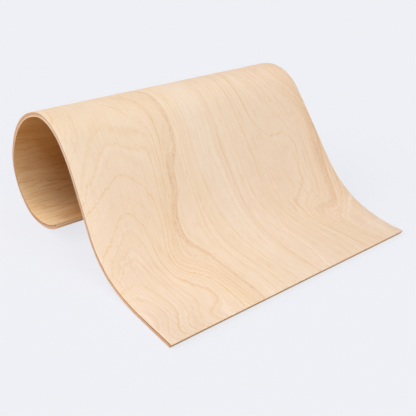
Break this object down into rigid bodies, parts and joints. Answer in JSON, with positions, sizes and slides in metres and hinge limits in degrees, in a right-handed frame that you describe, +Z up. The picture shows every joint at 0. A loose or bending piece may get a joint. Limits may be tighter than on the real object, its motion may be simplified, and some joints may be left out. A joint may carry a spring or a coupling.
{
  "type": "bending plywood sheet",
  "caption": "Thin bending plywood sheet, one end lying flat, rising in a ramp to an open curl that rolls over, down and back under itself to a free end.",
  "frame": {"origin": "on the floor, in the middle of the footprint", "axes": "+Z up; +Y from the flat toe to the back of the curl; +X along the curl's axis, from the edge with the steep ramp to the edge with the shallow one"},
  "size_m": [0.325, 0.3424, 0.1514],
  "materials": {
    "face_veneer": "raw rotary-cut veneer, sanded, with the grain running round the curl",
    "core_veneer": "raw veneer, seen only at the sawn edges",
    "back_veneer": "raw rotary-cut veneer, darker, with streaks along the curl's axis"
  },
  "bodies": {
    "root": {"face_veneer": "face_veneer", "core_veneer": "core_veneer", "back_veneer": "back_veneer"}
  },
  "joints": []
}
